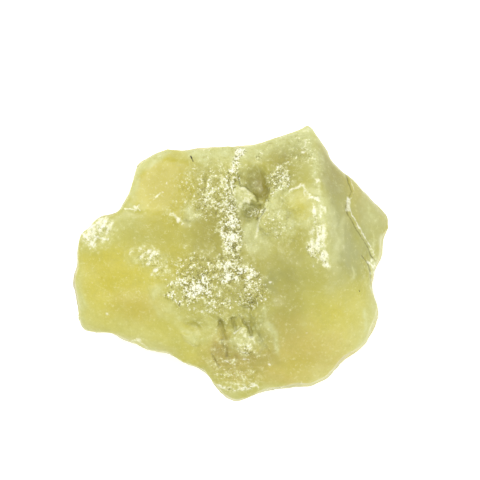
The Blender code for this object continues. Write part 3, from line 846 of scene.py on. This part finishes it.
# %% Into metres
MOST_TRIANGLES = 190_000
triangles = sum(len(face.vertices) - 2 for face in stone.data.polygons)
thinner = stone.modifiers.new("thinner", "DECIMATE")
thinner.ratio = min(1, MOST_TRIANGLES / triangles)
apply_modifiers(stone)
stone.data.transform(Matrix.Scale(MM, 4))
stone.data.shade_smooth()
stone.data.name = "jade_stone"
print("triangles:", triangles, "thinned to", sum(len(f.vertices) - 2 for f in stone.data.polygons))

# %% [markdown]
# ## A small language for finishes
# A finish is a net of nodes. Linked one by one they take a page for each sum, so `Value` wraps a
# socket and lets sums be written as Python. `Finish.add` makes any other node from its settings and
# inputs.


# %% Nodes as expressions
class Value:
    """A number that the finish works out at each point. Each sum on it adds a Math node."""

    def __init__(self, finish, socket):
        self.finish = finish
        self.socket = socket

    def calculated(self, operation, *others):
        """What a Math node makes of the others."""
        node = self.finish.add("ShaderNodeMath", {"operation": operation}, dict(enumerate(others)))
        return Value(self.finish, node.outputs[0])

    def __add__(self, other):
        return self.calculated("ADD", self, other)

    def __radd__(self, other):
        return self.calculated("ADD", other, self)

    def __sub__(self, other):
        return self.calculated("SUBTRACT", self, other)

    def __rsub__(self, other):
        return self.calculated("SUBTRACT", other, self)

    def __mul__(self, other):
        return self.calculated("MULTIPLY", self, other)

    def __rmul__(self, other):
        return self.calculated("MULTIPLY", other, self)

    def __abs__(self):
        return self.calculated("ABSOLUTE", self)

    def clamped(self, start=0.0, end=1.0):
        """0 before start and 1 after end, with a straight run between them."""
        node = self.finish.add("ShaderNodeMapRange", {"clamp": True},
                               {"Value": self, "From Min": start, "From Max": end})
        return Value(self.finish, node.outputs[0])


class Finish:
    """A material that is built up node by node, with washes over its ground colour."""

    def __init__(self, name, ground=None):
        self.material = bpy.data.materials.new(name)
        self.material.use_nodes = True
        self.nodes = self.material.node_tree.nodes
        self.links = self.material.node_tree.links
        self.shader = self.nodes["Principled BSDF"]
        self.tone = ground

    def add(self, kind, settings=None, inputs=None):
        """A node of that kind, with its settings made first and then its sockets set or linked."""
        node = self.nodes.new(kind)
        for name, setting in (settings or {}).items():
            setattr(node, name, setting)
        for name, given in (inputs or {}).items():
            self.feed(node.inputs[name], given)
        return node

    def feed(self, socket, given):
        given = getattr(given, "socket", given)
        if isinstance(given, bpy.types.NodeSocket):
            self.links.new(given, socket)
        else:
            socket.default_value = given

    def map(self, name):
        """The value that the piece keeps under that name at each point."""
        node = self.add("ShaderNodeAttribute", {"attribute_name": name})
        return Value(self, node.outputs["Fac"])

    def cloud(self, places, size, detail, roughness=0.55):
        """Noise between -0.5 and 0.5 with lumps of that size in mm."""
        inputs = {"Vector": places, "Scale": 1 / size, "Detail": detail, "Roughness": roughness}
        return Value(self, self.add("ShaderNodeTexNoise", {}, inputs).outputs["Fac"]) - 0.5

    def wash(self, paint, share):
        """Lays a paint over the tone so far, as thickly as the share of 0 to 1 says."""
        node = self.add("ShaderNodeMix", {"data_type": "RGBA"}, {0: share, 6: self.tone, 7: paint})
        self.tone = node.outputs[2]

    def shade(self, inputs):
        """Sets or links the shader's own sockets."""
        for name, given in inputs.items():
            self.feed(self.shader.inputs[name], given)


# %% [markdown]
# ## Paints
# The tints' colours are given as they should look. The studio is so bright that a surface comes out
# paler than its paint, so each paint is darkened by the same share first.

# %% Paints
STRENGTH = 0.76


def colour(red, green, blue):
    """A screen colour of 0 to 255 as the linear colour that shaders take, darkened."""
    linear = [((part / 255 + 0.055) / 1.055) ** 2.4 for part in (red, green, blue)]
    return (*(STRENGTH * part for part in linear), 1)


LIME = colour(203, 200, 107)
LEMON = colour(220, 209, 84)
AMBER = colour(212, 197, 106)
HONEY = colour(195, 183, 38)
RUST = colour(160, 142, 72)
OLIVE = colour(182, 176, 84)
GREY = colour(174, 175, 112)
# BROWN_AND_SHADE is a brown tint of the stone and also the colour of painted shade in deep places.
BROWN_AND_SHADE = colour(154, 143, 62)
PALE = colour(223, 225, 160)
CREAM = colour(243, 241, 180)
WHITE = (0.88, 0.88, 0.75, 1)
# SHADE is painted shade, laid in dents, in the cracks and in the gaps between grains.
SHADE = colour(134, 130, 68)
DIRT_BROWN = colour(60, 50, 25)
print("the ground colour is", [round(part, 3) for part in LIME[:3]])

# %% [markdown]
# ## The jade's own noises
# A map is only as sharp as the net, about 0.2 mm, and the stone is mottled far finer than that. So
# noises of several sizes are mixed in, and each layer is frayed by them. They read the object's own
# coordinates, in mm, so the pattern stays with the stone when it turns. Each is as often below 0 as
# above it, so that it frays a rim both ways.

# %% Noises of the jade
PER_METRE = 1000

jade = Finish("lemon_jade", LIME)
where = jade.add("ShaderNodeTexCoord").outputs["Object"]
to_mm = jade.add("ShaderNodeMapping", {"vector_type": "POINT"},
                 {"Vector": where, "Scale": (PER_METRE, PER_METRE, PER_METRE)})
places = to_mm.outputs["Vector"]
drift = jade.cloud(places, 3.0, 4.0)
mottle = jade.cloud(places, 1.1, 5.0, 0.7)
lumps = jade.cloud(places, 0.75, 4.0, 0.8)
fray = jade.cloud(places, 0.36, 3.0, 0.7)
specks = jade.cloud(places, 0.2, 1.0, 0.5)
curls = (1 - 11 * abs(jade.cloud(places, 0.8, 2.0, 0.6))).clamped()
sugared = jade.map("sugar")
rough = jade.map("rough")
print("noises and maps:", len(jade.nodes), "nodes")

# %% [markdown]
# ## Tints, mottle and shade
# The tints are laid over each other like thin washes, from the maps. Over them go a dull mottle, thin
# pale veils, a painted glow on pale rims, and painted shade where the stone lies deep and in dents. Each
# wash is soft at its rims, since the colour comes from inside the stone and not from its skin.

# %% Tints, mottle and shade
jade.wash(PALE, (drift * 1.6 + 0.1).clamped())
for tint, paint in (("lemon", LEMON), ("olive", OLIVE), ("amber", AMBER), ("honey", HONEY),
                    ("grey", GREY), ("brown", BROWN_AND_SHADE), ("rust", RUST), ("pale", PALE)):
    jade.wash(paint, (jade.map(tint) * (1.0 + mottle)).clamped())
dull = (mottle * -5.0 - drift * 2.0).clamped()
jade.wash(OLIVE, dull * (0.15 + 0.55 * rough))
faint = (fray * -4.0 - specks * 2.0).clamped()
jade.wash(OLIVE, faint * (0.22 + 0.25 * rough))
veil = (mottle * 5.0 + lumps * 4.0 + 0.05).clamped()
jade.wash(PALE, veil * (0.12 + 0.5 * rough + 0.3 * sugared))
# Painted glow: broad rims are painted paler, for light that shines through the thin edges.
jade.wash(PALE, jade.map("rim") * 0.3)
# Painted shade: where the stone lies deep it is painted browner.
jade.wash(BROWN_AND_SHADE, jade.map("deep") * 0.12)
# Painted shade: small dents are painted darker, more on rough ground.
jade.wash(SHADE, jade.map("dent") * (0.08 + 0.2 * rough))
print("washes:", len(jade.nodes), "nodes")

# %% [markdown]
# ## Frost, gaps and grains
# On top lie frost, which along the crest is partly a painted highlight, then the painted shade in the
# gaps between grains, stray crumbs, creamy flakes, the lines with painted shade in the cracks and white
# lips that are partly painted highlights, the white grains, and the dirt last. Each is cut out of the
# noises between two thresholds, so that it has a narrow rim that covers only half: one hard threshold
# would look like spilt salt.

# %% Frost, gaps and grains
# Frost in cream and white, along the crest partly a painted highlight.
frosting = (jade.map("frost") + lumps * 1.6 + fray * 0.6).clamped(0.25, 1.0)
jade.wash(CREAM, frosting * 0.8)
jade.wash(WHITE, (frosting - 0.35).clamped(0.0, 0.6) * 0.75)
grit = lumps * 1.2 + fray * 2.4 + specks * 2.0 + curls * 0.16 - 0.04
# Painted shade: the gaps between the grains are painted dark, where shade falls between them.
shaded = (sugared * 0.55 - grit).clamped(0.34, 0.66) * (sugared * 3 - 0.3).clamped()
jade.wash(SHADE, shaded * 0.85)
stray = (lumps * 4.0 + fray * 3.5 - 0.35).clamped()
jade.wash(CREAM, stray * (0.5 + 0.35 * rough))
clumped = sugared * (0.35 + 1.15 * (mottle * 3.6 + 0.5).clamped())
flaky = mottle * 1.2 + lumps * 1.9 + fray * 1.7
creamy = (clumped * 0.8 + rough * 0.12 + flaky).clamped(0.46, 0.62) * (rough * 2).clamped()
jade.wash(CREAM, creamy * 0.6)
# Painted shade: the cracks are carved, and the dark line along them is painted shade in the crevice.
crack_shade = (1 - jade.map("seam") * 0.5 + fray * 0.5).clamped(0.3, 0.8)
jade.wash(SHADE, crack_shade * 0.65)
# White on the lips: along the crack and flake rims a painted highlight where a rim catches the light, on
# the crumbs their own pale colour.
highlit_rims_and_crumbs = (1 - jade.map("lip") * 0.5 + lumps * 2.4 + fray * 0.9).clamped(0.3, 1.0)
jade.wash(WHITE, highlit_rims_and_crumbs * 0.65)
grained = (clumped * 0.92 + grit).clamped(0.70, 0.84) * (sugared * 4).clamped()
jade.wash(WHITE, grained * 0.88)
dirty = (1 - jade.map("dirt") * 0.5).clamped(0.35, 0.6)
jade.wash(DIRT_BROWN, dirty)
print("with frost and grains:", len(jade.nodes), "nodes")

# %% [markdown]
# ## Glow, gloss and the finest relief
# Light goes a millimetre or so into jade before it comes out again, so the shader has a constant
# subsurface share. Clean stone is waxy, and frost and grains are dull. Only what is finer than the
# net is left to a bump, which is strongest on rough and sugary ground. LEVEL keeps the grain above 0.

# %% Shader of the jade
LEVEL = 0.95
grain = lumps + fray * 0.6 + specks * 0.3 + LEVEL
relief = grain * (0.15 + 0.5 * rough + sugared) + mottle * 0.3
bump = jade.add("ShaderNodeBump", {}, {"Strength": 0.5, "Distance": 0.0003, "Height": relief})
jade.shade({
    "Base Color": jade.tone,
    "Roughness": (0.38 + 0.3 * frosting + 0.3 * grained).clamped(),
    "Normal": bump.outputs[0],
    "Subsurface Weight": 0.3,
    "Subsurface Radius": (1.0, 0.9, 0.45),
    "Subsurface Scale": 0.0010,
    "Specular IOR Level": 0.35,
    "IOR": 1.56,
})
stone.data.materials.clear()
stone.data.materials.append(jade.material)
print("finish with", len(jade.nodes), "nodes")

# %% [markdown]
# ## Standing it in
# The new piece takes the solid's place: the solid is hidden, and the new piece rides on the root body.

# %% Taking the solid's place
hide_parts(NODE)
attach(stone, "root")

# %% [markdown]
# ## Floor
# The stone lies on white paper that shows no shade far from it. A floor that glows a little gives
# that. It lies a hair's breadth lower than the stone, because two faces in one place would flicker.

# %% Floor
FLOOR_HALF = 0.6
FLOOR_DROP = 0.00005

floor_net = bmesh.new()
bmesh.ops.create_grid(floor_net, x_segments=1, y_segments=1, size=FLOOR_HALF)
bmesh.ops.translate(floor_net, vec=(0, 0, -FLOOR_DROP), verts=floor_net.verts)
floor_mesh = bpy.data.meshes.new("floor")
floor_net.to_mesh(floor_mesh)
floor_net.free()
floor = bpy.data.objects.new("floor", floor_mesh)
bpy.context.scene.collection.objects.link(floor)
paper = Finish("white_paper")
paper.shade({
    "Base Color": (0.95, 0.95, 0.95, 1),
    "Roughness": 0.9,
    "Emission Color": (1, 1, 1, 1),
    "Emission Strength": 0.45,
})
floor_mesh.materials.append(paper.material)
print("floor", 2 * FLOOR_HALF, "m wide")

# %% [markdown]
# ## Room and lamps
# A bright room gives the even light of a small studio tent. A lamp high at the upper left models the
# ridge, and a wider, weaker one low at the right keeps the far faces from going dull.

# %% Room and lamps
ROOM_LIGHT = 0.64

scene = bpy.context.scene
scene.view_settings.view_transform = "Standard"
room = bpy.data.worlds.new("room")
scene.world = room
room.use_nodes = True
room.node_tree.nodes["Background"].inputs["Color"].default_value = (1, 1, 1, 1)
room.node_tree.nodes["Background"].inputs["Strength"].default_value = ROOM_LIGHT


def hang_lamp(name, at, size, watts):
    """A square lamp that hangs at a place and shines at the origin."""
    light = bpy.data.lights.new(name, "AREA")
    light.size = size
    light.energy = watts
    lamp = bpy.data.objects.new(name, light)
    lamp.location = at
    lamp.rotation_euler = (-at).to_track_quat("-Z", "Y").to_euler()
    scene.collection.objects.link(lamp)


hang_lamp("key", Vector((-0.13, 0.14, 0.42)), size=0.20, watts=1.38)
hang_lamp("fill", Vector((0.24, -0.20, 0.16)), size=0.30, watts=0.45)
print("a room at", ROOM_LIGHT, "with a key lamp and a fill lamp")

# %% [markdown]
# ## Camera
# The camera looks straight down through a long lens, far away, so that high and low parts keep the
# same scale. Its height follows from the width that it should see.

# %% Camera
LENS = 400
FILM = 36
VIEW_WIDTH = 0.0735
AIM = Vector((0.00143, 0.00365, WAIST * MM))
camera_data = bpy.data.cameras.new("camera")
camera_data.lens = LENS
camera_data.sensor_width = FILM
camera_data.clip_end = 10
camera = bpy.data.objects.new("camera", camera_data)
camera.location = AIM + Vector((0, 0, VIEW_WIDTH * LENS / FILM))
scene.collection.objects.link(camera)
scene.camera = camera
print("camera", round(camera.location.z, 3), "m above the floor")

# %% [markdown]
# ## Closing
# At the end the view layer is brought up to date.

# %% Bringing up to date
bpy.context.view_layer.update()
